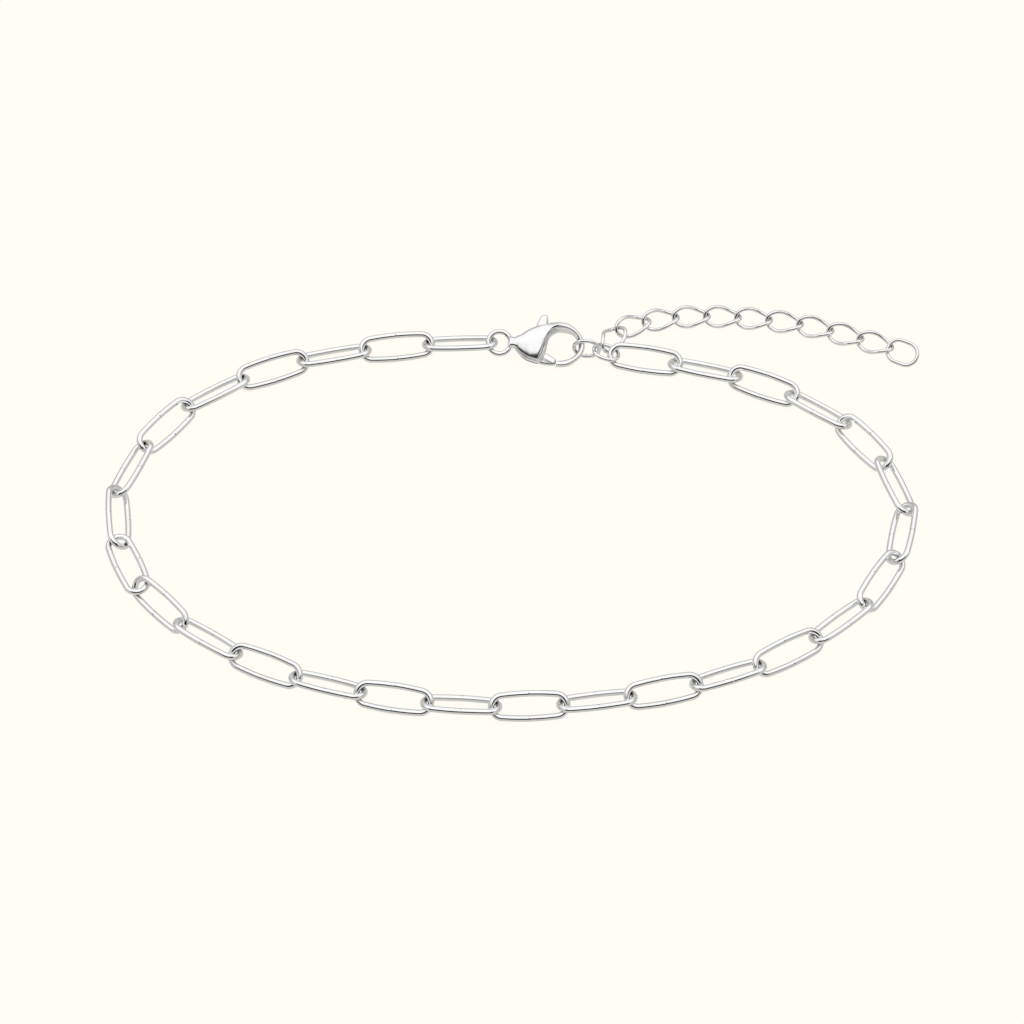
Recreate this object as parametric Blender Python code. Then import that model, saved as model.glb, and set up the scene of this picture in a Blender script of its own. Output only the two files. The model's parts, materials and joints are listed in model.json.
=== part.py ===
"""Chain anklet: paperclip links, a lobster clasp and a twisted-link extender, lying on a flat surface."""

import math

import bmesh
import bpy
import numpy as np
from mathutils import Matrix, Vector

MM = 0.001

# Main chain
MAIN_WIRE = 0.70 * MM
MAIN_LENGTH = 8.20 * MM
MAIN_END_WIDTH = 2.12 * MM
MAIN_BOW = 0.27
MAIN_LINKS = 29
MAIN_PLAY = 0.16 * MM
TURN_SLACK = 0.62 * MM
LOOSE_SLACK = 0.28 * MM
FIRST_LOOSE_LINK = 23

# Extender chain
EXTENDER_WIRE = 0.45 * MM
EXTENDER_LENGTH = 4.15 * MM
EXTENDER_WIDTH = 2.40 * MM
EXTENDER_LINKS = 11
EXTENDER_PLAY = 0.07 * MM
EXTENDER_SLACK = 0.50 * MM
SLACK_LINK = 2
LAST_LENGTH = 3.60 * MM
LAST_WIDTH = 2.60 * MM

# Jump rings
RING_WIRE = 0.45 * MM
RING_LENGTH = 2.95 * MM
RING_WIDTH = 2.50 * MM
RING_PLAY = 0.14 * MM
HOOK_PLAY = 0.19 * MM
END_RING_PLAY = 0.20 * MM

# Clasp: CLASP_REACH runs from the middle of the eye to the far side of the hook
CLASP_REACH = 9.85 * MM
CLASP_THICKNESS = 2.40 * MM
EYE_HEIGHT = 1.75 * MM
EYE_WIRE = 0.56 * MM
EYE_WIDTH = 2.60 * MM
EYE_PLAY = 0.16 * MM
LEVER_THICKNESS = 0.60 * MM
LEVER_GAP = 0.10 * MM
LEVER_EDGE = 0.08 * MM
PIN_WIDTH = 0.50 * MM
PIN_LENGTH = 1.60 * MM
PIN_GAP = 0.06 * MM

# How the pieces lie, in degrees about their long axes: a positive lean lifts the side on the way's left.
# Main links lean to and fro by LEAN_SWING, more so in a bend, where the outer-high ones ride up a little.
# The chain turns over at TURN_LINK, whose neighbours slide on to it by TURN_SLACK.
LEAN_SWING = 29
LEAN_BIAS = 7
LEAN_PER_BEND = 0.25
RISE_PER_BEND = 0.005 * MM
BIAS_REACH = 25 * MM
TURN_LINK = 9
TURN_LEANS = {8: -41, 9: 5, 10: 48}
TURN_SHIFT = 0.18 * MM
CLASP_LEAN = 34
CLASP_RING_LEAN = 92
END_RING_LEAN = 12
EXTENDER_TWIST = 38
FIRST_EXTENDER_LEAN = 10
LAST_EXTENDER_LEAN = 34

# Seen from above, in shares of the main chain's length: the place of the clasp's eye from the loop's middle,
# and the route of the main links from that eye round to the end ring
EYE_PLACE = (-0.0069, 0.1161)
MAIN_ROUTE = [
    (-0.0375, 0.0012), (-0.1058, -0.0112), (-0.1660, -0.0437), (-0.1999, -0.1025), (-0.1832, -0.1675),
    (-0.1292, -0.2114), (-0.0642, -0.2348), (0.0027, -0.2430), (0.0705, -0.2372), (0.1393, -0.2172),
    (0.1981, -0.1751), (0.2224, -0.1140), (0.1928, -0.0557), (0.1350, -0.0217), (0.0686, -0.0060),
]
# The extender from the end ring, in shares of a link's length
EXTENDER_ROUTE = [
    (0, 0), (0.428, 0.723), (1.102, 1.012), (2.765, 1.229), (5.416, 0.940), (7.922, 0.072), (8.982, -0.482),
]
# The ways along the two rings, from the hook on
CLASP_RING_WAY = Vector((0.973, -0.152, 0.175)).normalized()
END_RING_WAY = Vector((0.957, -0.195, -0.217)).normalized()

# The extender's place on the end ring, in shares of the ring's length along, across and above it
EXTENDER_SEAT = (0.102, -0.235, 0.026)

# The clasp in its own plane, as shares of CLASP_REACH from the middle of the eye, and of CLASP_THICKNESS
# (outer along, outer up, inner along, inner up, thickness), from the eye over the top to the hook's tip
CLASP_SECTIONS = [
    (0.132, 0.036, 0.132, -0.030, 0.22),
    (0.164, 0.045, 0.164, -0.045, 0.26),
    (0.242, 0.100, 0.236, -0.137, 0.62),
    (0.336, 0.165, 0.324, -0.211, 0.88),
    (0.477, 0.227, 0.454, -0.224, 1.00),
    (0.572, 0.240, 0.492, -0.106, 0.92),
    (0.654, 0.246, 0.547, 0.065, 0.74),
    (0.736, 0.240, 0.670, 0.117, 0.60),
    (0.829, 0.211, 0.783, 0.118, 0.52),
    (0.924, 0.135, 0.858, 0.079, 0.47),
    (0.986, 0.036, 0.916, 0.012, 0.41),
    (1.000, -0.059, 0.927, -0.053, 0.36),
    (0.959, -0.164, 0.901, -0.124, 0.34),
    (0.876, -0.239, 0.836, -0.188, 0.33),
    (0.783, -0.276, 0.762, -0.215, 0.32),
    (0.665, -0.284, 0.686, -0.218, 0.31),
]
HOOK_SEAT = (0.952, -0.069)
HOOK_BAND = 0.072
LEVER_OUTLINE = [
    (0.430, 0.212), (0.489, 0.311), (0.530, 0.341), (0.565, 0.317), (0.565, 0.235), (0.548, 0.176),
    (0.465, 0.059), (0.448, -0.035), (0.512, -0.112), (0.583, -0.161), (0.659, -0.214), (0.636, -0.270),
    (0.548, -0.259), (0.454, -0.235), (0.360, -0.165), (0.301, -0.094), (0.324, 0.000), (0.371, 0.118),
]
SLOT_OUTLINE = [
    (0.219, 0.247), (0.606, 0.353), (0.595, 0.141), (0.665, 0.012), (0.660, -0.212), (0.647, -0.341),
    (0.289, -0.341), (0.248, -0.106),
]
PIN_PLACE = (0.365, -0.088)

WIRE_SIDES = 6
END_STEPS = 6
EYE_STEPS = 20
CLASP_SIDES = 12
CLASP_STEPS = 2
PIN_SIDES = 12
ROUTE_STEPS = 24


def clear_scene():
    for obj in list(bpy.data.objects):
        bpy.data.objects.remove(obj, do_unlink=True)


def metal(name, color, roughness):
    material = bpy.data.materials.new(name)
    material.use_nodes = True
    shader = material.node_tree.nodes["Principled BSDF"]
    shader.inputs["Base Color"].default_value = (*color, 1.0)
    shader.inputs["Roughness"].default_value = roughness
    shader.inputs["Metallic"].default_value = 1.0
    return material


def add_object(name, mesh, material, matrix):
    mesh.materials.clear()
    mesh.materials.append(material)
    obj = bpy.data.objects.new(name, mesh)
    bpy.context.collection.objects.link(obj)
    obj.matrix_world = matrix
    return obj


def unit(vectors):
    return vectors / np.linalg.norm(vectors, axis=-1, keepdims=True)


def oval(length, width, bow=0.0):
    """The closed middle line of a link: two round ends, and sides that bow out by a share of the width."""
    radius = width / 2
    reach = length / 2 - radius
    points = []
    for sign in (1, -1):
        for step in range(END_STEPS + 1):
            angle = math.radians(-90 + 180 * step / END_STEPS)
            points.append((sign * (reach + radius * math.cos(angle)), sign * radius * math.sin(angle)))
        for share in (1 / 3, -1 / 3):
            points.append((sign * share * reach, sign * radius))
    return [(x, y * (1 + bow * (1 - (2 * x / length) ** 2))) for x, y in points]


def turned(outline, reach, start_lean, end_lean):
    """The outline in space, with the cross-direction at each end turned about the long axis, in degrees."""
    points, normals = [], []
    for x, y in outline:
        share = math.sin(math.pi / 2 * max(-1.0, min(1.0, x / reach)))
        lean = math.radians((start_lean + end_lean) / 2 + share * (end_lean - start_lean) / 2)
        points.append((x, y * math.cos(lean), y * math.sin(lean)))
        normals.append((0.0, -math.sin(lean), math.cos(lean)))
    return np.array(points), np.array(normals)


def wire_ring(name, points, normals, diameter, sides=WIRE_SIDES, facet_angle=-90.0):
    """A closed loop of wire along the points, with a facet at facet_angle from outwards to the normal."""
    ahead = unit(np.roll(points, -1, axis=0) - points)
    behind = np.roll(ahead, 1, axis=0)
    tangents = unit(ahead + behind)
    mitre = 1 / np.sum(ahead * tangents, axis=1, keepdims=True)
    normals = unit(normals - tangents * np.sum(normals * tangents, axis=1, keepdims=True))
    outwards = np.cross(tangents, normals) * mitre
    mesh = bmesh.new()
    rings = []
    for point, outward, normal in zip(points, outwards, normals):
        angles = [math.radians(facet_angle + 360 * (side + 0.5) / sides) for side in range(sides)]
        places = [point + diameter / 2 * (math.cos(a) * outward + math.sin(a) * normal) for a in angles]
        rings.append([mesh.verts.new(place) for place in places])
    join_rings(mesh, rings, closed=True)
    return finished(mesh, name)


def join_rings(mesh, rings, closed):
    sides = len(rings[0])
    for first, second in zip(rings, rings[1:] + rings[:1] if closed else rings[1:]):
        for side in range(sides):
            after = (side + 1) % sides
            mesh.faces.new((first[side], second[side], second[after], first[after]))
    if not closed:
        mesh.faces.new(rings[0])
        mesh.faces.new(reversed(rings[-1]))


def finished(mesh, name):
    bmesh.ops.recalc_face_normals(mesh, faces=mesh.faces)
    data = bpy.data.meshes.new(name)
    mesh.to_mesh(data)
    mesh.free()
    data.shade_smooth()
    data.set_sharp_from_angle(angle=math.radians(75))
    return data


def plate(name, outline, thickness):
    """A flat plate of the outline in its XY plane, centred on it."""
    mesh = bmesh.new()
    corners = [mesh.verts.new((x, y, -thickness / 2)) for x, y in outline]
    face = mesh.faces.new(corners)
    raised = bmesh.ops.extrude_face_region(mesh, geom=[face])["geom"]
    verts = [item for item in raised if isinstance(item, bmesh.types.BMVert)]
    bmesh.ops.translate(mesh, verts=verts, vec=(0, 0, thickness))
    return finished(mesh, name)


def smooth_line(points, steps):
    """A smooth line through the points (Catmull-Rom), with so many steps between two of them."""
    points = np.array(points, float)
    ends = np.vstack([2 * points[0] - points[1], points, 2 * points[-1] - points[-2]])
    line = []
    for before, start, end, after in zip(ends, ends[1:], ends[2:], ends[3:]):
        for step in range(steps):
            t = step / steps
            line.append(
                start
                + t * (end - before) / 2
                + t**2 * (2 * before - 5 * start + 4 * end - after) / 2
                + t**3 * (3 * start - before - 3 * end + after) / 2
            )
    return np.array([*line, points[-1]])


def walk(line, strides):
    """The places reached from the start of the line by straight strides that end on it."""
    places = [line[0]]
    index = 0
    for stride in strides:
        here = places[-1]
        while index < len(line) - 2 and np.linalg.norm(line[index + 1] - here) < stride:
            index += 1
        start, run = line[index], line[index + 1] - line[index]
        offset = start - here
        a, b, c = run @ run, 2 * offset @ run, offset @ offset - stride**2
        places.append(start + run * (-b + math.sqrt(max(b * b - 4 * a * c, 0))) / (2 * a))
    return places


def lying(start, end, lean):
    """The frame of a piece whose +X runs from start to end, with its +Y side lifted by lean degrees."""
    along = (end - start).normalized()
    level = Vector((-along.y, along.x, 0)).normalized()
    side = level * math.cos(math.radians(lean)) + along.cross(level) * math.sin(math.radians(lean))
    frame = Matrix((along, side, along.cross(side))).transposed().to_4x4()
    frame.translation = (start + end) / 2
    return frame


def bias(y):
    """The camera side of the loop leans one way and the far side the other."""
    return -LEAN_BIAS * max(-1.0, min(1.0, y / BIAS_REACH))


def bend(joints, link):
    """How far the chain bends at the link, in degrees from one joint to the next."""
    first, last = max(link - 2, 0), min(link + 1, len(joints) - 1)
    before, after = joints[first + 1] - joints[first], joints[last] - joints[last - 1]
    return math.degrees(before.xy.angle(after.xy)) / max(last - first - 1, 1)


def main_lean(joints, link):
    if link in TURN_LEANS:
        return TURN_LEANS[link]
    swing = LEAN_SWING + LEAN_PER_BEND * bend(joints, link)
    inner_high = (link % 2 == 1) == (link < TURN_LINK)
    return (swing if inner_high else -swing) + bias((joints[link - 1].y + joints[link].y) / 2)


def main_height(lean):
    """The height of the chain's axis where a link that leans so much touches the surface."""
    half_width = MAIN_END_WIDTH / 2 * (1 + MAIN_BOW)
    flat = MAIN_WIRE / 2 * math.cos(math.pi / WIRE_SIDES)
    return half_width * math.sin(math.radians(abs(lean))) + flat


def clasp_point(share_along, share_up):
    return Vector((share_along * CLASP_REACH, share_up * CLASP_REACH, 0))


def clasp_frame():
    frame = Matrix.Rotation(math.radians(CLASP_LEAN), 4, "X")
    length = sum(main_strides())
    frame.translation = (EYE_PLACE[0] * length, EYE_PLACE[1] * length, EYE_HEIGHT)
    return frame


def ring_ends():
    """Both ends of the clasp ring, which hangs on the hook, then both ends of the end ring."""
    seat = clasp_frame() @ clasp_point(*HOOK_SEAT)
    clasp_ring_start = seat - CLASP_RING_WAY * (HOOK_BAND * CLASP_REACH / 2 + RING_WIRE / 2 + HOOK_PLAY)
    clasp_ring_end = clasp_ring_start + CLASP_RING_WAY * RING_LENGTH
    end_ring_start = clasp_ring_end - CLASP_RING_WAY * (RING_WIRE + RING_PLAY)
    return clasp_ring_start, clasp_ring_end, end_ring_start, end_ring_start + END_RING_WAY * RING_LENGTH


def main_strides():
    """How far each main link reaches from one joint to the next."""
    stride = MAIN_LENGTH - MAIN_WIRE - MAIN_PLAY
    slack = {TURN_LINK - 1: TURN_SLACK / 2, TURN_LINK: TURN_SLACK, TURN_LINK + 1: TURN_SLACK / 2}
    slack.update({link: LOOSE_SLACK for link in range(FIRST_LOOSE_LINK, MAIN_LINKS + 1)})
    return [stride - slack.get(link, 0) for link in range(1, MAIN_LINKS + 1)]


def fitted_line(start, end, strides):
    """The main route, drawn so large that a chain with those strides runs from start just to end."""
    shape = smooth_line([(0, 0), *MAIN_ROUTE], ROUTE_STEPS) * sum(strides)
    runs = np.linalg.norm(np.diff(shape, axis=0), axis=1)
    shares = np.concatenate([[0], np.cumsum(runs)])[:, None] / sum(runs)
    small, large = 0.5, 1.5
    for _ in range(30):
        scale = (small + large) / 2
        line = start + scale * shape + shares * (end - start - scale * shape[-1])
        if (walk(line, strides)[-1] - end) @ (line[-1] - line[-2]) > 0:
            small = scale
        else:
            large = scale
    return line


def main_joints():
    """Where the main links meet, from the clasp's eye to the end ring."""
    overlap = (EYE_WIRE + MAIN_WIRE) / 2 + EYE_PLAY
    eye_joint = clasp_frame() @ Vector((overlap / 2 - EYE_WIDTH / 2, 0, 0))
    overlap = (MAIN_WIRE + RING_WIRE) / 2 + END_RING_PLAY
    ring_joint = ring_ends()[-1] - END_RING_WAY * overlap / 2
    strides = main_strides()
    line = fitted_line(np.array(eye_joint.xy), np.array(ring_joint.xy), strides)
    joints = [Vector((x, y, 0)) for x, y in walk(line, strides)]
    heights = [main_height(main_lean(joints, link)) for link in range(1, MAIN_LINKS + 1)]
    for index, joint in enumerate(joints):
        joint.z = max(heights[max(index - 1, 0):index + 1])
    joints[0].z = eye_joint.z
    return joints


def build_main_chain(joints, material):
    reach = (MAIN_LENGTH - MAIN_END_WIDTH) / 2
    outline = oval(MAIN_LENGTH, MAIN_END_WIDTH, MAIN_BOW)
    points, normals = turned(outline, reach, 0, 0)
    for link in range(1, MAIN_LINKS + 1):
        lean = main_lean(joints, link)
        name = f"main_link_{link:02d}"
        mesh = wire_ring(name, points, normals, MAIN_WIRE, facet_angle=abs(lean) - 90)
        frame = lying(joints[link - 1], joints[link], lean)
        if link == TURN_LINK:
            frame.translation -= frame.col[1].xyz * TURN_SHIFT
        elif lean < 0 and link not in TURN_LEANS:
            frame.translation.z += RISE_PER_BEND * bend(joints, link)
        add_object(name, mesh, material, frame)


def build_rings(material):
    """The clasp ring hangs on the hook and holds the end ring, whose frame is returned."""
    points, normals = turned(oval(RING_LENGTH, RING_WIDTH), RING_LENGTH / 2, 0, 0)
    mesh = wire_ring("jump_ring", points, normals, RING_WIRE)
    clasp_ring_start, clasp_ring_end, end_ring_start, end_ring_end = ring_ends()
    add_object("clasp_ring", mesh, material, lying(clasp_ring_end, clasp_ring_start, CLASP_RING_LEAN))
    frame = lying(end_ring_end, end_ring_start, END_RING_LEAN)
    add_object("end_ring", mesh, material, frame)
    return frame


def build_extender(ring_frame, material):
    start = ring_frame @ (Vector(EXTENDER_SEAT) * RING_LENGTH)
    line = smooth_line(np.array(start.xy) + np.array(EXTENDER_ROUTE) * EXTENDER_LENGTH, ROUTE_STEPS)
    stride = EXTENDER_LENGTH - EXTENDER_WIRE - EXTENDER_PLAY
    links = range(1, EXTENDER_LINKS + 1)
    places = walk(line, [stride - EXTENDER_SLACK * (link == SLACK_LINK) for link in links])
    height = EXTENDER_WIDTH / 2 * math.sin(math.radians(EXTENDER_TWIST)) + EXTENDER_WIRE / 2
    joints = [Vector((x, y, height)) for x, y in places]
    joints[0].z = start.z
    reach = (EXTENDER_LENGTH - EXTENDER_WIDTH) / 2
    outline = oval(EXTENDER_LENGTH, EXTENDER_WIDTH)
    points, normals = turned(outline, reach, EXTENDER_TWIST, -EXTENDER_TWIST)
    mesh = wire_ring("extender_link", points, normals, EXTENDER_WIRE)
    for link in range(1, EXTENDER_LINKS):
        name = f"extender_link_{link:02d}"
        lean = FIRST_EXTENDER_LEAN if link == 1 else 0
        add_object(name, mesh, material, lying(joints[link - 1], joints[link], lean))
    overlap = EXTENDER_WIRE + EXTENDER_PLAY
    direction = (joints[-1] - joints[-2]).normalized()
    start = joints[-2] - direction * overlap / 2
    points, normals = turned(oval(LAST_LENGTH, LAST_WIDTH), LAST_LENGTH, 0, 0)
    mesh = wire_ring("last_link", points, normals, EXTENDER_WIRE)
    frame = lying(start, start + direction * LAST_LENGTH, LAST_EXTENDER_LEAN)
    add_object(f"extender_link_{EXTENDER_LINKS:02d}", mesh, material, frame)


def clasp_loft():
    """The neck, the teardrop body and the hook as one lofted solid."""
    table = smooth_line(CLASP_SECTIONS, CLASP_STEPS)
    mesh = bmesh.new()
    rings = []
    for outer_x, outer_y, inner_x, inner_y, thickness in table:
        outer, inner = clasp_point(outer_x, outer_y), clasp_point(inner_x, inner_y)
        middle, half = (outer + inner) / 2, (outer - inner) / 2
        rise = Vector((0, 0, thickness * CLASP_THICKNESS / 2))
        angles = [2 * math.pi * (side + 0.5) / CLASP_SIDES for side in range(CLASP_SIDES)]
        rings.append([mesh.verts.new(middle + half * math.cos(a) + rise * math.sin(a)) for a in angles])
    join_rings(mesh, rings, closed=False)
    return finished(mesh, "clasp_body")


def combine(obj, mesh, operation, matrix):
    """A Boolean with a helper that stays out of the render."""
    helper = bpy.data.objects.new(f"{obj.name}_{mesh.name}", mesh)
    bpy.context.collection.objects.link(helper)
    helper.matrix_world = matrix
    helper.hide_render = True
    helper.display_type = "WIRE"
    modifier = obj.modifiers.new(mesh.name, "BOOLEAN")
    modifier.operation = operation
    modifier.object = helper


def rod(name, diameter, length):
    mesh = bmesh.new()
    bmesh.ops.create_cone(
        mesh, cap_ends=True, segments=PIN_SIDES, radius1=diameter / 2, radius2=diameter / 2, depth=length
    )
    return finished(mesh, name)


def build_clasp(material):
    frame = clasp_frame()
    pin_frame = frame @ Matrix.Translation(clasp_point(*PIN_PLACE))
    body = add_object("clasp_body", clasp_loft(), material, frame)
    circle = [2 * math.pi * (step + 0.5) / EYE_STEPS for step in range(EYE_STEPS)]
    points = np.array([(EYE_WIDTH / 2 * math.cos(a), EYE_WIDTH / 2 * math.sin(a), 0) for a in circle])
    normals = np.tile((0.0, 0.0, 1.0), (EYE_STEPS, 1))
    combine(body, wire_ring("eye", points, normals, EYE_WIRE, sides=8), "UNION", frame)
    slot = [clasp_point(x, y).xy for x, y in SLOT_OUTLINE]
    combine(body, plate("slot", slot, LEVER_THICKNESS + 2 * LEVER_GAP), "DIFFERENCE", frame)
    combine(body, rod("pin", PIN_WIDTH, PIN_LENGTH), "UNION", pin_frame)
    pin = clasp_point(*PIN_PLACE)
    outline = [(clasp_point(x, y) - pin).xy for x, y in LEVER_OUTLINE]
    lever = add_object("clasp_lever", plate("clasp_lever", outline, LEVER_THICKNESS), material, pin_frame)
    bevel = lever.modifiers.new("edges", "BEVEL")
    bevel.width = LEVER_EDGE
    bevel.limit_method = "ANGLE"
    bevel.angle_limit = math.radians(60)
    combine(lever, rod("bore", PIN_WIDTH + 2 * PIN_GAP, PIN_LENGTH), "DIFFERENCE", pin_frame)


def stand_on_origin():
    """Moves the whole anklet so that the middle of its footprint stands on the origin."""
    bpy.context.view_layer.update()
    graph = bpy.context.evaluated_depsgraph_get()
    corners = []
    for obj in bpy.context.scene.objects:
        if not obj.hide_render:
            placed = obj.evaluated_get(graph)
            corners.extend(placed.matrix_world @ vertex.co for vertex in placed.data.vertices)
    corners = np.array(corners)
    low, high = corners.min(axis=0), corners.max(axis=0)
    shift = Vector((-(low[0] + high[0]) / 2, -(low[1] + high[1]) / 2, -low[2]))
    for obj in bpy.context.scene.objects:
        obj.matrix_world = Matrix.Translation(shift) @ obj.matrix_world


def main():
    clear_scene()
    chain_silver = metal("chain_silver", (0.90, 0.90, 0.91), 0.12)
    clasp_silver = metal("clasp_silver", (0.92, 0.92, 0.93), 0.10)
    build_clasp(clasp_silver)
    build_main_chain(main_joints(), chain_silver)
    end_ring_frame = build_rings(chain_silver)
    build_extender(end_ring_frame, chain_silver)
    stand_on_origin()


main()
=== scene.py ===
"""The looks of the chain anklet: round polished wire, a domed lobster clasp and soft studio light."""

import json
import math

import bmesh
import bpy
import numpy as np
from mathutils import Matrix, Vector


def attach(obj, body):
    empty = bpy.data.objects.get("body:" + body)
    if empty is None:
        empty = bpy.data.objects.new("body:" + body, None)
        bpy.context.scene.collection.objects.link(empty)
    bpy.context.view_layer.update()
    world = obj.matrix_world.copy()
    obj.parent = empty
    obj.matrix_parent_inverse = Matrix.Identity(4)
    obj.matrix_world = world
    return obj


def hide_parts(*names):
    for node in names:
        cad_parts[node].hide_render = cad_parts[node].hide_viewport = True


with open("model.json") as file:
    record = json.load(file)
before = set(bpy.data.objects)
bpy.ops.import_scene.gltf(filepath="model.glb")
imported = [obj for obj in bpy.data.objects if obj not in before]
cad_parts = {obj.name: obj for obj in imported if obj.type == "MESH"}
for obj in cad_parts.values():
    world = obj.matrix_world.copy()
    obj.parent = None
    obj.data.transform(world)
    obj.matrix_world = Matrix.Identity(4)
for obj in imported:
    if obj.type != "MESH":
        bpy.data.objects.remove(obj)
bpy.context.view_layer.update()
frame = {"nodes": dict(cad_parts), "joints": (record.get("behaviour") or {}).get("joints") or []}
MM = 0.001

# Camera
CAMERA_TARGET = Vector((-0.80, -1.18, 1.10)) * MM
CAMERA_ELEVATION = 52
CAMERA_DISTANCE = 426 * MM
CAMERA_LENS = 133.9
CAMERA_SENSOR = 36
CAMERA_NEAR = 10 * MM

# Wires
MAIN_WIRE = 0.70 * MM
MAIN_LENGTH = 8.20 * MM
MAIN_END_WIDTH = 2.12 * MM
MAIN_BOW = 0.27
SEAM_WIDTH = 0.12 * MM
SEAM_DEPTH = 0.97
SEAM_STEP = 0.015 * MM
EXTENDER_WIRE = 0.45 * MM
EXTENDER_LENGTH = 4.15 * MM
EXTENDER_WIDTH = 2.40 * MM
EXTENDER_TWIST = (46, -20)
FIRST_TWIST = (50, -30)
ROUNDNESS = 0.92
LAST_LENGTH = 3.60 * MM
LAST_WIDTH = 2.60 * MM
RING_WIRE = 0.45 * MM
RING_LENGTH = 2.95 * MM
RING_WIDTH = 2.50 * MM

# Clasp: CLASP_REACH runs from the middle of the eye to the far side of the hook
CLASP_REACH = 9.85 * MM
CLASP_THICKNESS = 2.40 * MM
EYE_WIRE = 0.60 * MM
EYE_WIDTH = 2.58 * MM
EYE_SEAM = math.radians(335)
EYE_SEAM_REACH = math.radians(3)
EYE_SEAM_DEPTH = 0.72
LEVER_THICKNESS = 0.60 * MM
LEVER_EDGE = 0.28 * MM
LEVER_GAP = 0.10 * MM
# Sections of the clasp from the neck over the top to the hook's tip. Each has the place of its outer edge,
# along and up, and of its inner edge, as shares of CLASP_REACH from the eye. Then come its thickness as a
# share of CLASP_THICKNESS and the width of the bevel beside the inner edge as a share of CLASP_REACH. The
# last three are shares of half the thickness: how high the bevel's outer and inner edges stand, and how far
# the dome falls towards the bevel.
CLASP_SECTIONS = [
    (0.122, 0.080, 0.122, -0.062, 0.62, 0.030, 0.86, 0.62, 0.03),
    (0.170, 0.067, 0.168, -0.064, 0.64, 0.032, 0.86, 0.62, 0.03),
    (0.206, 0.080, 0.202, -0.106, 0.69, 0.038, 0.86, 0.62, 0.03),
    (0.256, 0.106, 0.250, -0.157, 0.76, 0.048, 0.86, 0.62, 0.03),
    (0.340, 0.160, 0.332, -0.213, 0.87, 0.056, 0.84, 0.60, 0.05),
    (0.470, 0.213, 0.468, -0.240, 0.97, 0.056, 0.80, 0.56, 0.13),
    (0.572, 0.232, 0.541, -0.118, 0.90, 0.046, 0.80, 0.46, 0.12),
    (0.654, 0.240, 0.585, 0.040, 0.78, 0.048, 0.82, 0.50, 0.10),
    (0.736, 0.240, 0.676, 0.114, 0.66, 0.056, 0.84, 0.52, 0.10),
    (0.829, 0.212, 0.783, 0.112, 0.58, 0.052, 0.88, 0.42, 0.10),
    (0.926, 0.134, 0.864, 0.083, 0.52, 0.038, 0.88, 0.42, 0.10),
    (0.988, 0.034, 0.912, 0.022, 0.46, 0.028, 0.86, 0.42, 0.10),
    (1.002, -0.059, 0.930, -0.055, 0.40, 0.024, 0.84, 0.42, 0.10),
    (0.962, -0.160, 0.904, -0.126, 0.40, 0.018, 0.80, 0.42, 0.10),
    (0.884, -0.232, 0.842, -0.180, 0.40, 0.014, 0.76, 0.40, 0.12),
    (0.790, -0.282, 0.764, -0.208, 0.40, 0.014, 0.74, 0.38, 0.12),
    (0.655, -0.288, 0.682, -0.214, 0.39, 0.014, 0.74, 0.38, 0.12),
]
DOME_FLATNESS = 5.5
DOME_FULLNESS = 0.90
DOME_CROWDING = 0.6
GROOVE = 0.05
BACK_DEPTH = 0.86
LEVER_OUTLINE = [
    (0.415, 0.150), (0.437, 0.212), (0.462, 0.264), (0.490, 0.309), (0.527, 0.331), (0.562, 0.317),
    (0.575, 0.280), (0.564, 0.190), (0.500, 0.059), (0.490, -0.050), (0.541, -0.116), (0.605, -0.158),
    (0.664, -0.200), (0.652, -0.258), (0.620, -0.272), (0.548, -0.268), (0.454, -0.246), (0.360, -0.180),
    (0.301, -0.094), (0.324, 0.000), (0.371, 0.085),
]
SLOT_OUTLINE = [
    (0.219, 0.247), (0.606, 0.353), (0.595, 0.141), (0.665, 0.012), (0.660, -0.212), (0.647, -0.341),
    (0.289, -0.341), (0.248, -0.106),
]
PIN_PLACE = (0.365, -0.088)

# Fineness of the meshes
WIRE_SIDES = 20
END_STEPS = 20
SIDE_STEPS = 10
EXTENDER_STEPS = 72
DOME_STEPS = 14
EDGE_STEPS = 5
CLASP_STEPS = 7
LEVER_STEPS = 5
EYE_STEPS = 64
SHARP_ANGLE = math.radians(40)

# Metal
SILVER_COLOR = (0.93, 0.93, 0.935)
SEAM_COLOR = (0.20, 0.20, 0.21)
CHAIN_ROUGHNESS = 0.07
CLASP_ROUGHNESS = 0.13
SEAM_ROUGHNESS = 0.35
ROUGHNESS_SPREAD = (0.7, 1.4)
PATCH_SCALE = 350.0
PATCH_DULLNESS = 0.95
MARK_SCALE = 2600.0
MARK_STRETCH = (1.0, 6.0, 3.0)
MARK_HEIGHT = 0.01 * MM
MARK_STRENGTH = 0.05
# Painted shade: ambient occlusion darkens the metal's colour near other metal and the floor, standing in for
# shade in crevices
PAINTED_SHADE_REACH = 0.45 * MM
PAINTED_SHADE_OPENNESS = (0.15, 0.70)
PAINTED_SHADE_BRIGHTNESS = (0.03, 1.0)

# Stage
FLOOR_REACH = 3.0
FLOOR_COLOR = (1.0, 0.982, 0.913)
FLOOR_BASE = (0.05, 0.05, 0.046)
FLOOR_GLOW = 0.965
FLOOR_REFLECTED = 0.60
STUDIO_LIGHT = [(0.0, 0.40), (0.30, 0.50), (0.48, 0.75), (0.62, 1.05), (1.0, 1.08)]
BAND_HEIGHT = [(0.10, 0.0), (0.24, 1.0), (0.68, 1.0), (0.83, 0.0)]
BAND_FRONT = (0.0, -0.45)
BAND_ENDS = (0.80, 0.55)
BAND_COLOR = (0.02, 0.02, 0.022)


def unit(vectors):
    """The vectors, each with a length of one."""
    return vectors / np.linalg.norm(vectors, axis=-1, keepdims=True)


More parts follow.
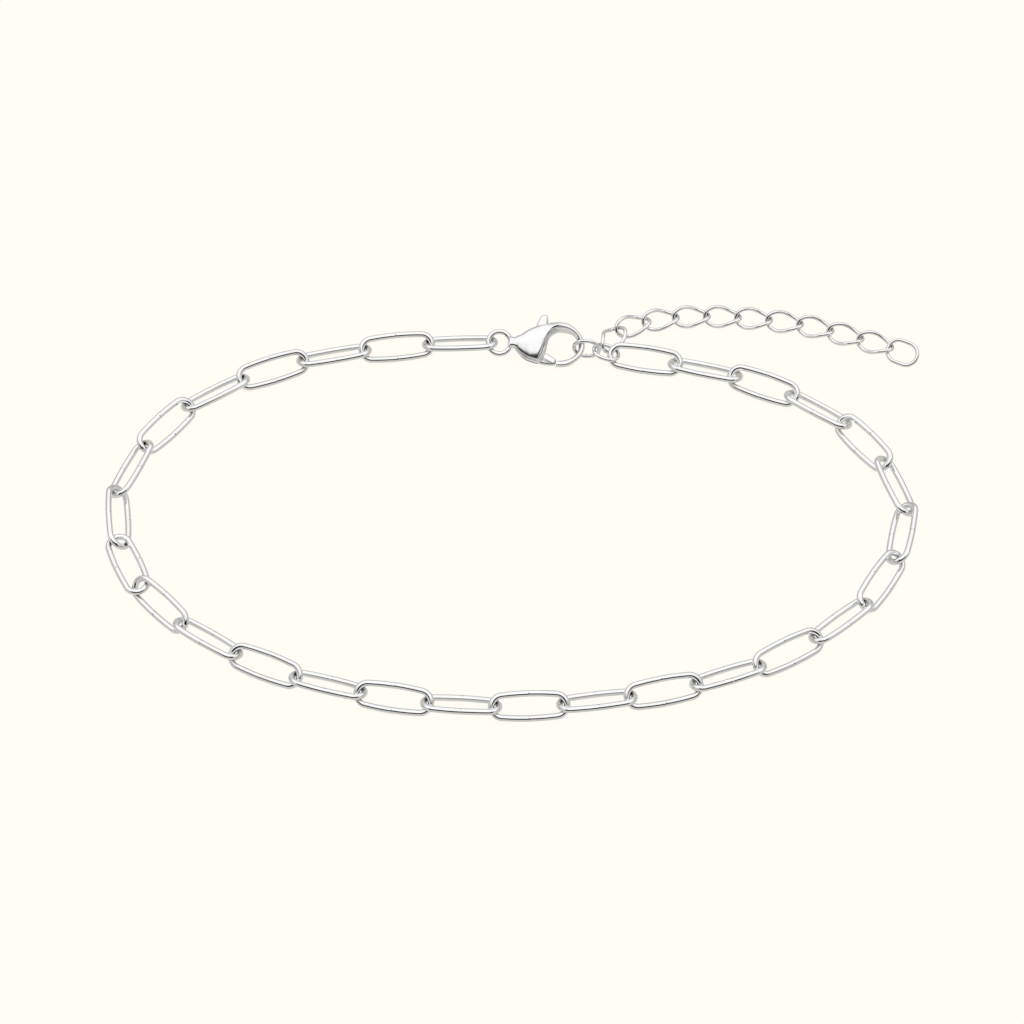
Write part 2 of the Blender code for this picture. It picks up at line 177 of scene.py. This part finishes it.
def node_frame(name, ahead=None):
    """Where a ring of wire lies: +X along it, +Y across it and +Z square to it.

    With ahead, a place, +X points towards that place.
    """
    mesh = frame["nodes"][name].data
    mesh.calc_loop_triangles()
    corners = [[mesh.vertices[index].co for index in face.vertices] for face in mesh.loop_triangles]
    corners = np.array(corners)
    centres = corners.mean(axis=1)
    areas = np.linalg.norm(
        np.cross(corners[:, 1] - corners[:, 0], corners[:, 2] - corners[:, 0]),
        axis=1,
    )
    centre = np.average(centres, axis=0, weights=areas)
    _, axes = np.linalg.eigh(np.cov((centres - centre).T, aweights=areas))
    along, across = Vector(axes[:, 2]), Vector(axes[:, 1])
    if along.cross(across).z < 0:
        across = -across
    if ahead is not None and along.dot(ahead - Vector(centre)) < 0:
        along, across = -along, -across
    matrix = Matrix((along, across, along.cross(across))).transposed().to_4x4()
    matrix.translation = Vector(centre)
    return matrix


def oval(length, width, bow=0.0, seams=()):
    """The closed middle line of a link: two round ends and two sides.

    The sides bow out by a share of the width. The seams are distances from the middle of a side where it
    gets points of its own.
    """
    radius = width / 2
    reach = length / 2 - radius
    places = {reach * math.cos(math.pi * step / SIDE_STEPS) for step in range(1, SIDE_STEPS)}
    places = {place for place in places if not seams or abs(place) > 2 * max(seams)}
    places = places | set(seams) | {-seam for seam in seams}
    points = []
    for sign in (1, -1):
        for step in range(END_STEPS + 1):
            angle = math.radians(-90 + 180 * step / END_STEPS)
            points.append((sign * (reach + radius * math.cos(angle)), sign * radius * math.sin(angle)))
        for place in sorted(places, reverse=True):
            points.append((sign * place, sign * radius))
    return [(x, y * (1 + bow * (1 - (2 * x / length) ** 2))) for x, y in points]


def rounded(angle, half_length, half_width):
    """The point at the angle on an oval that is a little fuller than an ellipse."""
    shares = [math.copysign(abs(value) ** ROUNDNESS, value) for value in (math.cos(angle), math.sin(angle))]
    return shares[0] * half_length, shares[1] * half_width


def turned(outline, reach, start_lean, end_lean):
    """The outline in space, its cross-direction at each end turned about the long axis, in degrees."""
    points, normals = [], []
    for x, y in outline:
        share = math.sin(math.pi / 2 * max(-1.0, min(1.0, x / reach)))
        lean = math.radians((start_lean + end_lean) / 2 + share * (end_lean - start_lean) / 2)
        points.append((x, y * math.cos(lean), y * math.sin(lean)))
        normals.append((0.0, -math.sin(lean), math.cos(lean)))
    return np.array(points), np.array(normals)


def wire_ring(name, points, normals, diameter, widths=None):
    """A closed loop of round wire along the points, its width at each point a share of the diameter."""
    ahead = unit(np.roll(points, -1, axis=0) - points)
    behind = np.roll(ahead, 1, axis=0)
    tangents = unit(ahead + behind)
    mitre = 1 / np.sum(ahead * tangents, axis=1, keepdims=True)
    normals = unit(normals - tangents * np.sum(normals * tangents, axis=1, keepdims=True))
    outwards = np.cross(tangents, normals) * mitre
    widths = np.ones(len(points)) if widths is None else np.array(widths)
    radius = (diameter / 2 * widths)[:, None, None]
    angles = 2 * np.pi * np.arange(WIRE_SIDES)[None, :, None] / WIRE_SIDES
    rings = points[:, None] + radius * (
        np.cos(angles) * outwards[:, None] + np.sin(angles) * normals[:, None]
    )
    return loft(name, rings, closed=True)


def loft(name, rings, closed):
    """A mesh over rings of points, either closed on itself or with a cap at each end."""
    count, sides = rings.shape[:2]
    faces = []
    for row in range(count if closed else count - 1):
        here = row * sides
        after = (row + 1) % count * sides
        for side in range(sides):
            beside = (side + 1) % sides
            faces.append((here + side, here + beside, after + beside, after + side))
    if not closed:
        faces.append(tuple(range(sides)))
        faces.append(tuple((count - 1) * sides + side for side in reversed(range(sides))))
    mesh = bpy.data.meshes.new(name)
    mesh.from_pydata(rings.reshape(-1, 3).tolist(), [], faces)
    return tidied(mesh)


def tidied(mesh):
    """The mesh with its faces pointing outwards, smooth but for its sharp edges."""
    work = bmesh.new()
    work.from_mesh(mesh)
    bmesh.ops.recalc_face_normals(work, faces=work.faces)
    work.to_mesh(mesh)
    work.free()
    mesh.shade_smooth()
    mesh.set_sharp_from_angle(angle=SHARP_ANGLE)
    return mesh


def add_piece(name, mesh, matrix, material, body, slot, *nodes):
    """A piece of the model that rides on a body and takes the place of nodes of the part."""
    piece = bpy.data.objects.new(name, mesh)
    bpy.context.scene.collection.objects.link(piece)
    piece.matrix_world = matrix
    if not mesh.materials:
        mesh.materials.append(material)
    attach(piece, body)
    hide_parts(*nodes)


def combine(mesh, other, operation):
    """The first mesh joined with the other or cut by it, both in the same frame."""
    first = bpy.data.objects.new("first", mesh)
    second = bpy.data.objects.new("second", other)
    for obj in (first, second):
        bpy.context.scene.collection.objects.link(obj)
    modifier = first.modifiers.new("combine", "BOOLEAN")
    modifier.solver = "MANIFOLD"
    modifier.operation = operation
    modifier.object = second
    bpy.context.view_layer.update()
    result = bpy.data.meshes.new_from_object(first.evaluated_get(bpy.context.evaluated_depsgraph_get()))
    bpy.data.objects.remove(first)
    bpy.data.objects.remove(second)
    result.materials.clear()
    return tidied(result)


def smooth_line(points, steps):
    """A smooth line through the points, with so many steps between two of them."""
    points = np.array(points, float)
    ends = np.vstack([2 * points[0] - points[1], points, 2 * points[-1] - points[-2]])
    line = []
    for before, start, end, after in zip(ends, ends[1:], ends[2:], ends[3:]):
        for share in np.arange(steps) / steps:
            line.append(
                start
                + share * (end - before) / 2
                + share**2 * (2 * before - 5 * start + 4 * end - after) / 2
                + share**3 * (3 * start - before - 3 * end + after) / 2
            )
    return np.array([*line, points[-1]])


def closed_line(points, steps):
    """A smooth closed line through the points."""
    count = len(points)
    padded = [*points[-3:], *points, *points[:3]]
    return smooth_line(padded, steps)[3 * steps : (3 + count) * steps]


# Shader nodes, each made in a node tree and linked to what it needs


def noise(tree, place, scale, detail):
    """A noise pattern over the place."""
    node = tree.nodes.new("ShaderNodeTexNoise")
    node.inputs["Scale"].default_value = scale
    node.inputs["Detail"].default_value = detail
    tree.links.new(place, node.inputs["Vector"])
    return node.outputs["Fac"]


def map_range(tree, value, before, after=(0.0, 1.0), kind="LINEAR"):
    """The value taken from one range to another."""
    node = tree.nodes.new("ShaderNodeMapRange")
    node.interpolation_type = kind
    for end, level in zip(("From Min", "From Max", "To Min", "To Max"), (*before, *after)):
        node.inputs[end].default_value = level
    tree.links.new(value, node.inputs["Value"])
    return node.outputs["Result"]


def grey_ramp(tree, value, stops):
    """A smooth ramp of greys over the value."""
    node = tree.nodes.new("ShaderNodeValToRGB")
    ramp = node.color_ramp
    ramp.interpolation = "EASE"
    while len(ramp.elements) < len(stops):
        ramp.elements.new(0.5)
    for element, (position, level) in zip(ramp.elements, stops):
        element.position = position
        element.color = (level, level, level, 1.0)
    tree.links.new(value, node.inputs["Fac"])
    return node.outputs["Color"]


def multiply(tree, first, second):
    """The product of two values."""
    node = tree.nodes.new("ShaderNodeMath")
    node.operation = "MULTIPLY"
    tree.links.new(first, node.inputs[0])
    tree.links.new(second, node.inputs[1])
    return node.outputs[0]


def replaced(tree, share, color, other):
    """The colour, replaced by the other, which is fixed, as far as the share says."""
    node = tree.nodes.new("ShaderNodeMix")
    node.data_type = "RGBA"
    tree.links.new(share, node.inputs["Factor"])
    tree.links.new(color, node.inputs["A"])
    node.inputs["B"].default_value = (*other, 1.0)
    return node.outputs["Result"]


def seen_directly(tree):
    """One where the camera sees the surface itself, and nought where it is lit or reflected."""
    return tree.nodes.new("ShaderNodeLightPath").outputs["Is Camera Ray"]


# Materials


def silver(name, color, roughness):
    """Polished silver: slightly uneven tone and gloss, faint polishing marks and painted shade in the
    crevices.
    """
    material = bpy.data.materials.new(name)
    material.use_nodes = True
    tree = material.node_tree
    shader = tree.nodes["Principled BSDF"]
    shader.inputs["Metallic"].default_value = 1.0
    place = tree.nodes.new("ShaderNodeTexCoord").outputs["Object"]
    patches = noise(tree, place, PATCH_SCALE, 4.0)
    tree.links.new(painted_crevice_shade(tree, patch_tint(tree, patches, color)), shader.inputs["Base Color"])
    glossier, duller = ROUGHNESS_SPREAD
    gloss = map_range(tree, patches, (0.3, 0.7), (roughness * glossier, roughness * duller))
    tree.links.new(gloss, shader.inputs["Roughness"])
    tree.links.new(polishing_marks(tree, place), shader.inputs["Normal"])
    return material


def patch_tint(tree, patches, color):
    """The colour, a little duller in patches."""
    tint = tree.nodes.new("ShaderNodeValToRGB")
    dull, bright = tint.color_ramp.elements
    dull.position = 0.35
    dull.color = (*[channel * PATCH_DULLNESS for channel in color], 1.0)
    bright.position = 0.65
    bright.color = (*color, 1.0)
    tree.links.new(patches, tint.inputs["Fac"])
    return tint.outputs["Color"]


def painted_crevice_shade(tree, color):
    """The colour with painted shade, which makes it almost black where other metal is close by."""
    # Painted shade: the base colour goes almost black where ambient occlusion finds metal or floor close by
    crevices = tree.nodes.new("ShaderNodeAmbientOcclusion")
    crevices.samples = 8
    crevices.inputs["Distance"].default_value = PAINTED_SHADE_REACH
    depth = map_range(tree, crevices.outputs["AO"], PAINTED_SHADE_OPENNESS, PAINTED_SHADE_BRIGHTNESS)
    shade = tree.nodes.new("ShaderNodeMix")
    shade.data_type = "RGBA"
    shade.blend_type = "MULTIPLY"
    shade.inputs["Factor"].default_value = 1.0
    tree.links.new(color, shade.inputs["A"])
    tree.links.new(depth, shade.inputs["B"])
    return shade.outputs["Result"]


def polishing_marks(tree, place):
    """Fine marks, drawn out in one direction."""
    stretch = tree.nodes.new("ShaderNodeMapping")
    stretch.inputs["Scale"].default_value = MARK_STRETCH
    tree.links.new(place, stretch.inputs["Vector"])
    bump = tree.nodes.new("ShaderNodeBump")
    bump.inputs["Strength"].default_value = MARK_STRENGTH
    bump.inputs["Distance"].default_value = MARK_HEIGHT
    tree.links.new(noise(tree, stretch.outputs["Vector"], MARK_SCALE, 3.0), bump.inputs["Height"])
    return bump.outputs["Normal"]


# Chain


def build_main_chain(material, seam_material):
    """The long links, with a thin dark seam in the middle of both sides."""
    near, far = SEAM_WIDTH / 4, SEAM_WIDTH / 2
    outline = oval(MAIN_LENGTH, MAIN_END_WIDTH, MAIN_BOW, (near, far, SEAM_WIDTH))
    widths = [SEAM_DEPTH if abs(x) < 0.9 * far else 1.0 for x, _ in outline]
    outline = [(x, y + math.copysign(SEAM_STEP / 2, x)) for x, y in outline]
    points, normals = turned(outline, MAIN_LENGTH / 2, 0, 0)
    mesh = wire_ring("main_link", points, normals, MAIN_WIRE, widths)
    mesh.materials.append(material)
    mesh.materials.append(seam_material)
    for face in mesh.polygons:
        if all(abs(mesh.vertices[index].co.x) < 0.75 * far for index in face.vertices):
            face.material_index = 1
    for name in sorted(frame["nodes"]):
        if name.startswith("main_link"):
            piece = name.replace("main_link", "paperclip_link")
            add_piece(piece, mesh, node_frame(name), material, "anklet", "chain_silver", name)


def build_rings(material):
    """The two jump rings beside the clasp's hook."""
    points, normals = turned(oval(RING_LENGTH, RING_WIDTH), RING_LENGTH, 0, 0)
    mesh = wire_ring("ring", points, normals, RING_WIRE)
    for name in ("end_ring", "clasp_ring"):
        piece = name.replace("ring", "jump_ring")
        add_piece(piece, mesh, node_frame(name), material, "anklet", "chain_silver", name)


def build_extender(material):
    """The twisted links, of which the first is twisted more, and the plain last link."""
    angles = 2 * np.pi * np.arange(EXTENDER_STEPS) / EXTENDER_STEPS
    outline = [rounded(angle, EXTENDER_LENGTH / 2, EXTENDER_WIDTH / 2) for angle in angles]
    first_mesh, other_mesh = [
        wire_ring("extender_link", *turned(outline, EXTENDER_LENGTH / 2, *twist), EXTENDER_WIRE)
        for twist in (FIRST_TWIST, EXTENDER_TWIST)
    ]
    names = sorted(name for name in frame["nodes"] if name.startswith("extender_link"))
    ahead = Vector((1, 0, 0))
    for name in names[:-1]:
        piece = name.replace("extender_link", "twisted_link")
        mesh = first_mesh if name == names[0] else other_mesh
        add_piece(piece, mesh, node_frame(name, ahead), material, "anklet", "chain_silver", name)
    points, normals = turned(oval(LAST_LENGTH, LAST_WIDTH), LAST_LENGTH, 0, 0)
    mesh = wire_ring("last_link", points, normals, EXTENDER_WIRE)
    add_piece("end_link", mesh, node_frame(names[-1], ahead), material, "anklet", "chain_silver", names[-1])


# Clasp


def clasp_frames():
    """The clasp's frame at the middle of its eye and the lever's on its pin, from the lever's joint."""
    joint = frame["joints"][0]
    up = Vector(joint["axis"]).normalized()
    along = Vector((1, 0, 0))
    pin = Matrix((along, up.cross(along), up)).transposed().to_4x4()
    pin.translation = Vector(joint["pos_m"])
    return pin @ Matrix.Translation(-clasp_point(*PIN_PLACE)), pin


def clasp_point(share_along, share_up):
    """The point in the clasp's plane at these shares of its reach."""
    return Vector((share_along * CLASP_REACH, share_up * CLASP_REACH, 0))


def plate(name, outline, thickness):
    """A flat plate in the shape of the outline."""
    mesh = bmesh.new()
    face = mesh.faces.new([mesh.verts.new((x, y, -thickness / 2)) for x, y in outline])
    raised = bmesh.ops.extrude_face_region(mesh, geom=[face])["geom"]
    verts = [item for item in raised if isinstance(item, bmesh.types.BMVert)]
    bmesh.ops.translate(mesh, verts=verts, vec=(0, 0, thickness))
    data = bpy.data.meshes.new(name)
    mesh.to_mesh(data)
    mesh.free()
    return tidied(data)


def rounded_plate(name, outline, thickness, edge):
    """A plate in the shape of the outline, its edge rounded over the given width."""
    points = np.array(outline)
    ahead = unit(np.roll(points, -1, axis=0) - np.roll(points, 1, axis=0))
    inwards = np.column_stack([-ahead[:, 1], ahead[:, 0]])
    area = np.sum(points[:, 0] * np.roll(points[:, 1], -1) - points[:, 1] * np.roll(points[:, 0], -1))
    rows = []
    for angle in np.radians(np.linspace(-90, 90, 2 * EDGE_STEPS + 1)):
        flat = points + math.copysign(edge, area) * (1 - math.cos(angle)) * inwards
        rows.append(np.column_stack([flat, np.full(len(flat), thickness / 2 * math.sin(angle))]))
    return loft(name, np.array(rows), closed=False)


def section_profile(outer, crease, inner, heights):
    """The front of a section from its outer edge to its inner edge: a flat dome, a crease and a bevel."""
    half_thickness, bevel_top, bevel_low, drop = heights
    angles = np.radians(np.linspace(0, 90, DOME_STEPS))
    shares = np.linspace(0, 1, DOME_STEPS)[1:] ** DOME_CROWDING
    places = np.concatenate([(1 - np.cos(angles)) / 2, (1 + shares) / 2])
    levels = np.concatenate([np.sin(angles) ** DOME_FULLNESS, 1 - drop * shares**DOME_FLATNESS])
    dome = outer + places[:, None] * (crease - outer)
    fall = bevel_low - bevel_top
    edge = np.array([
        (0.05, bevel_top - GROOVE),
        (0.18, bevel_top - 0.01),
        (0.40, bevel_top + 0.35 * fall),
        (0.70, bevel_top + 0.72 * fall),
        (0.92, bevel_low),
        (0.98, bevel_low * 0.88),
        (1.00, bevel_low * 0.70),
    ])
    bevel = crease + edge[:, :1] * (inner - crease)
    return np.column_stack([np.vstack([dome, bevel]), half_thickness * np.concatenate([levels, edge[:, 1]])])


def clasp_body_mesh():
    """The neck, body and hook of the clasp, without its eye and slot."""
    table = smooth_line(CLASP_SECTIONS, CLASP_STEPS)
    outers, inners = table[:, :2] * CLASP_REACH, table[:, 2:4] * CLASP_REACH
    along = unit(np.gradient(inners, axis=0))
    across = np.column_stack([-along[:, 1], along[:, 0]])
    creases = inners + across * table[:, 5:6] * CLASP_REACH
    rings = []
    for outer, crease, inner, row in zip(outers, creases, inners, table):
        front = section_profile(outer, crease, inner, (row[4] * CLASP_THICKNESS / 2, *row[6:]))
        rings.append(np.vstack([front, front[:0:-1] * (1, 1, -BACK_DEPTH)]))
    return loft("clasp_body", np.array(rings), closed=False)


def eye_mesh():
    """The clasp's eye: a ring of wire with a thin seam."""
    angles = 2 * np.pi * (np.arange(EYE_STEPS) + 0.5) / EYE_STEPS
    points = EYE_WIDTH / 2 * np.column_stack([np.cos(angles), np.sin(angles), np.zeros(EYE_STEPS)])
    normals = np.tile((0.0, 0.0, 1.0), (EYE_STEPS, 1))
    widths = [EYE_SEAM_DEPTH if abs(angle - EYE_SEAM) < EYE_SEAM_REACH else 1.0 for angle in angles]
    return wire_ring("eye", points, normals, EYE_WIRE, widths)


def build_clasp(material):
    """The clasp's body with its eye and slot, and the lever in the slot."""
    clasp, pin = clasp_frames()
    slot = plate("slot", [clasp_point(x, y).xy for x, y in SLOT_OUTLINE], LEVER_THICKNESS + 2 * LEVER_GAP)
    body = combine(clasp_body_mesh(), eye_mesh(), "UNION")
    body = combine(body, slot, "DIFFERENCE")
    add_piece("clasp_shell", body, clasp, material, "anklet", "clasp_silver", "clasp_body")
    centre = clasp_point(*PIN_PLACE)
    outline = closed_line([(clasp_point(x, y) - centre).xy for x, y in LEVER_OUTLINE], LEVER_STEPS)
    lever = rounded_plate("lever", outline, LEVER_THICKNESS, LEVER_EDGE)
    add_piece("clasp_trigger", lever, pin, material, "lever", "clasp_silver", "clasp_lever")


# Stage


def build_floor():
    """A plain pale floor that looks evenly lit, and is darker in reflections."""
    mesh = bpy.data.meshes.new("floor")
    corners = [(x * FLOOR_REACH, y * FLOOR_REACH, 0) for x, y in ((-1, -1), (1, -1), (1, 1), (-1, 1))]
    mesh.from_pydata(corners, [], [(0, 1, 2, 3)])
    floor = bpy.data.objects.new("floor", mesh)
    bpy.context.scene.collection.objects.link(floor)
    material = bpy.data.materials.new("floor")
    material.use_nodes = True
    tree = material.node_tree
    shader = tree.nodes["Principled BSDF"]
    shader.inputs["Base Color"].default_value = (*FLOOR_BASE, 1.0)
    shader.inputs["Roughness"].default_value = 1.0
    shader.inputs["Specular IOR Level"].default_value = 0.0
    shader.inputs["Emission Color"].default_value = (*FLOOR_COLOR, 1.0)
    glow = map_range(tree, seen_directly(tree), (0.0, 1.0), (FLOOR_REFLECTED, FLOOR_GLOW))
    tree.links.new(glow, shader.inputs["Emission Strength"])
    mesh.materials.append(material)


def build_world():
    """A white dome of light over a grey horizon, with a dark band in front and a plain background."""
    world = bpy.data.worlds.new("studio")
    bpy.context.scene.world = world
    world.use_nodes = True
    tree = world.node_tree
    tree.nodes.clear()
    split = tree.nodes.new("ShaderNodeSeparateXYZ")
    tree.links.new(tree.nodes.new("ShaderNodeTexCoord").outputs["Generated"], split.inputs[0])
    sideways = tree.nodes.new("ShaderNodeMath")
    sideways.operation = "ABSOLUTE"
    tree.links.new(split.outputs["X"], sideways.inputs[0])
    front = map_range(tree, split.outputs["Y"], BAND_FRONT, kind="SMOOTHSTEP")
    middle = map_range(tree, sideways.outputs[0], BAND_ENDS, kind="SMOOTHSTEP")
    band = multiply(tree, grey_ramp(tree, split.outputs["Z"], BAND_HEIGHT), multiply(tree, front, middle))
    light = replaced(tree, band, grey_ramp(tree, split.outputs["Z"], STUDIO_LIGHT), BAND_COLOR)
    background = tree.nodes.new("ShaderNodeBackground")
    tree.links.new(replaced(tree, seen_directly(tree), light, FLOOR_COLOR), background.inputs["Color"])
    output = tree.nodes.new("ShaderNodeOutputWorld")
    tree.links.new(background.outputs[0], output.inputs["Surface"])


def build_camera():
    """The camera at the photo's angle."""
    data = bpy.data.cameras.new("camera")
    data.lens = CAMERA_LENS
    data.sensor_width = CAMERA_SENSOR
    data.clip_start = CAMERA_NEAR
    camera = bpy.data.objects.new("camera", data)
    bpy.context.scene.collection.objects.link(camera)
    tilt = math.radians(CAMERA_ELEVATION)
    camera.location = CAMERA_TARGET + CAMERA_DISTANCE * Vector((0, -math.cos(tilt), math.sin(tilt)))
    camera.rotation_euler = (math.pi / 2 - tilt, 0, 0)
    bpy.context.scene.camera = camera


chain_silver = silver("chain_silver", SILVER_COLOR, CHAIN_ROUGHNESS)
seam_silver = silver("seam_silver", SEAM_COLOR, SEAM_ROUGHNESS)
clasp_silver = silver("clasp_silver", SILVER_COLOR, CLASP_ROUGHNESS)
build_main_chain(chain_silver, seam_silver)
build_rings(chain_silver)
build_extender(chain_silver)
build_clasp(clasp_silver)
build_floor()
build_world()
build_camera()
bpy.context.scene.view_settings.view_transform = "Standard"
